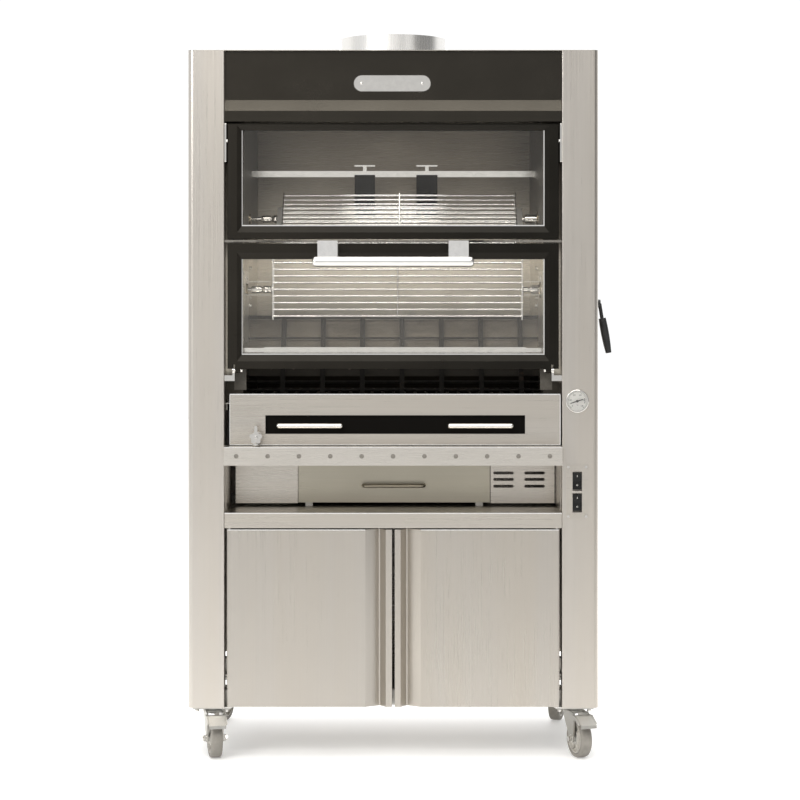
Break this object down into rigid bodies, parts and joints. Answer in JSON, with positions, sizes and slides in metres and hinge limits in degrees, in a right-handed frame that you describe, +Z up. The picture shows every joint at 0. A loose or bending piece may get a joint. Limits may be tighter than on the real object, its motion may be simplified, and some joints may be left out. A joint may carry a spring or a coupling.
{
  "type": "charcoal rotisserie oven",
  "caption": "Tall stainless charcoal rotisserie cabinet with glazed doors, turning wire baskets, drip and ash drawers, cupboard and castors.",
  "frame": {"origin": "floor level under the middle of the cabinet, midway across and midway in its depth", "axes": "+Z up, front with the doors towards -Y, +X to the right seen from the front"},
  "size_m": [1.1338, 0.74, 1.927],
  "materials": {
    "stainless": "brushed, warm grey, satin",
    "chamber_steel": "brushed, slightly heat-toned",
    "black_paint": "satin black enamel",
    "polished": "polished stainless",
    "glass": "clear heat-resistant glass",
    "wire": "polished stainless wire",
    "cast_black": "dark, dry, sooty",
    "black_plastic": "matt black",
    "gloss_black": "gloss black",
    "brass_bush": "machined brass",
    "zinc": "zinc plated steel, satin",
    "motor_grey": "cast aluminium",
    "dial": "white dial in a polished rim",
    "castor_wheel": "grey rubber tread on a plastic core"
  },
  "bodies": {
    "cabinet": {"frame": "zinc", "left_casing": "stainless", "right_casing": "stainless", "rear_panel": "stainless", "roof_panel": "stainless", "flue_spigot": "stainless", "fascia": "black_paint", "badge_plate": "polished", "chamber_side_walls": "chamber_steel", "chamber_back_and_ceiling": "chamber_steel", "chamber_rails": "stainless", "deflector_plates": "black_paint", "fire_guard": "cast_black", "fire_grate": "cast_black", "ash_chute": "chamber_steel", "perforated_rail": "stainless", "niche_panels": "stainless", "shelf": "stainless", "door_hinges": "polished", "shaft_bushes": "brass_bush", "basket_gearmotors": "motor_grey", "drawer_runners": "zinc", "cupboard_liner": "stainless", "thermometer_body": "dial", "switch_plate": "stainless", "panel_fasteners": "polished", "cable_gland": "black_plastic", "castor_plates": "zinc"},
    "upper_door": {"upper_door_frame": "black_paint", "upper_door_glass": "glass"},
    "lower_door": {"lower_door_frame": "black_paint", "lower_door_glass": "glass", "door_handle": "polished"},
    "drip_drawer": {"drip_drawer_front": "stainless", "drip_drawer_inset": "black_paint", "drip_drawer_handles": "polished", "drip_pan": "stainless", "tap_body": "polished"},
    "tap_handle": {"tap_lever": "polished"},
    "ash_box": {"ash_drawer": "stainless"},
    "left_cupboard": {"left_cupboard_door": "stainless"},
    "right_cupboard": {"right_cupboard_door": "stainless"},
    "lower_spit": {"lower_basket": "wire", "lower_basket_journals": "polished"},
    "upper_spit": {"upper_basket": "wire", "upper_basket_journals": "polished"},
    "upper_switch": {"upper_rocker": "gloss_black"},
    "lower_switch": {"lower_rocker": "gloss_black"},
    "air_shutter": {"air_lever": "black_plastic"},
    "dial_needle": {"thermometer_needle": "black_paint"},
    "front_left_swivel": {"front_left_fork": "zinc"},
    "front_left_roller": {"front_left_wheel": "castor_wheel"},
    "front_right_swivel": {"front_right_fork": "zinc"},
    "front_right_roller": {"front_right_wheel": "castor_wheel"},
    "rear_left_swivel": {"rear_left_fork": "zinc"},
    "rear_left_roller": {"rear_left_wheel": "castor_wheel"},
    "rear_right_swivel": {"rear_right_fork": "zinc"},
    "rear_right_roller": {"rear_right_wheel": "castor_wheel"},
    "left_pedal": {"left_brake_pedal": "zinc"},
    "right_pedal": {"right_brake_pedal": "zinc"}
  },
  "joints": [
    {"name": "upper_door_hinge", "type": "hinge", "parent": "cabinet", "child": "upper_door", "pos_m": [0, -0.313, 1.624], "axis": [-1, 0, 0], "range_deg": [0, 80]},
    {"name": "lower_door_hinge", "type": "hinge", "parent": "cabinet", "child": "lower_door", "pos_m": [0, -0.32, 1.018], "axis": [1, 0, 0], "range_deg": [0, 88]},
    {"name": "drip_drawer_slide", "type": "slide", "parent": "cabinet", "child": "drip_drawer", "axis": [0, -1, 0], "range_m": [0, 0.12]},
    {"name": "tap_turn", "type": "hinge", "parent": "drip_drawer", "child": "tap_handle", "pos_m": [-0.358, -0.3745, 0.845], "axis": [0, 1, 0], "range_deg": [0, 90]},
    {"name": "ash_drawer_slide", "type": "slide", "parent": "cabinet", "child": "ash_box", "axis": [0, -1, 0], "range_m": [0, 0.33]},
    {"name": "left_cupboard_hinge", "type": "hinge", "parent": "cabinet", "child": "left_cupboard", "pos_m": [-0.431, -0.319, 0.366], "axis": [0, 0, -1], "range_deg": [0, 95]},
    {"name": "right_cupboard_hinge", "type": "hinge", "parent": "cabinet", "child": "right_cupboard", "pos_m": [0.431, -0.319, 0.366], "axis": [0, 0, 1], "range_deg": [0, 95]},
    {"name": "lower_basket_spin", "type": "hinge", "parent": "cabinet", "child": "lower_spit", "pos_m": [0, -0.18, 1.233], "axis": [1, 0, 0], "continuous": true},
    {"name": "upper_basket_spin", "type": "hinge", "parent": "cabinet", "child": "upper_spit", "pos_m": [0, -0.06, 1.428], "axis": [1, 0, 0], "continuous": true},
    {"name": "upper_rocker_press", "type": "hinge", "parent": "cabinet", "child": "upper_switch", "pos_m": [0.484, -0.324, 0.7276], "axis": [-1, 0, 0], "range_deg": [0, 10.7]},
    {"name": "lower_rocker_press", "type": "hinge", "parent": "cabinet", "child": "lower_switch", "pos_m": [0.484, -0.324, 0.671], "axis": [-1, 0, 0], "range_deg": [0, 10.7]},
    {"name": "air_lever_turn", "type": "hinge", "parent": "cabinet", "child": "air_shutter", "pos_m": [0.5, -0.13, 1.195], "axis": [-1, 0, 0], "range_deg": [0, 90]},
    {"name": "needle_turn", "type": "hinge", "parent": "cabinet", "child": "dial_needle", "pos_m": [0.484, -0.3334, 0.938], "axis": [0, 1, 0], "range_deg": [0, 240]},
    {"name": "front_left_swivel_turn", "type": "hinge", "parent": "cabinet", "child": "front_left_swivel", "pos_m": [-0.478, -0.282, 0.115], "axis": [0, 0, 1], "continuous": true},
    {"name": "front_left_wheel_roll", "type": "hinge", "parent": "front_left_swivel", "child": "front_left_roller", "pos_m": [-0.46999, -0.31812, 0.05], "axis": [0.9763, 0.2164, 0], "continuous": true},
    {"name": "front_right_swivel_turn", "type": "hinge", "parent": "cabinet", "child": "front_right_swivel", "pos_m": [0.478, -0.282, 0.115], "axis": [0, 0, 1], "continuous": true},
    {"name": "front_right_wheel_roll", "type": "hinge", "parent": "front_right_swivel", "child": "front_right_roller", "pos_m": [0.49066, -0.31677, 0.05], "axis": [0.9397, 0.342, 0], "continuous": true},
    {"name": "rear_left_swivel_turn", "type": "hinge", "parent": "cabinet", "child": "rear_left_swivel", "pos_m": [-0.478, 0.215, 0.115], "axis": [0, 0, 1], "continuous": true},
    {"name": "rear_left_wheel_roll", "type": "hinge", "parent": "rear_left_swivel", "child": "rear_left_roller", "pos_m": [-0.4882, 0.17943, 0.05], "axis": [0.9613, -0.2756, 0], "continuous": true},
    {"name": "rear_right_swivel_turn", "type": "hinge", "parent": "cabinet", "child": "rear_right_swivel", "pos_m": [0.478, 0.215, 0.115], "axis": [0, 0, 1], "continuous": true},
    {"name": "rear_right_wheel_roll", "type": "hinge", "parent": "rear_right_swivel", "child": "rear_right_roller", "pos_m": [0.4678, 0.17943, 0.05], "axis": [0.9613, -0.2756, 0], "continuous": true},
    {"name": "left_pedal_press", "type": "hinge", "parent": "front_left_swivel", "child": "left_pedal", "pos_m": [-0.46804, -0.32691, 0.108], "axis": [0.9763, 0.2164, 0], "range_deg": [0, 10]},
    {"name": "right_pedal_press", "type": "hinge", "parent": "front_right_swivel", "child": "right_pedal", "pos_m": [0.49373, -0.32523, 0.108], "axis": [0.9397, 0.342, 0], "range_deg": [0, 10]}
  ]
}
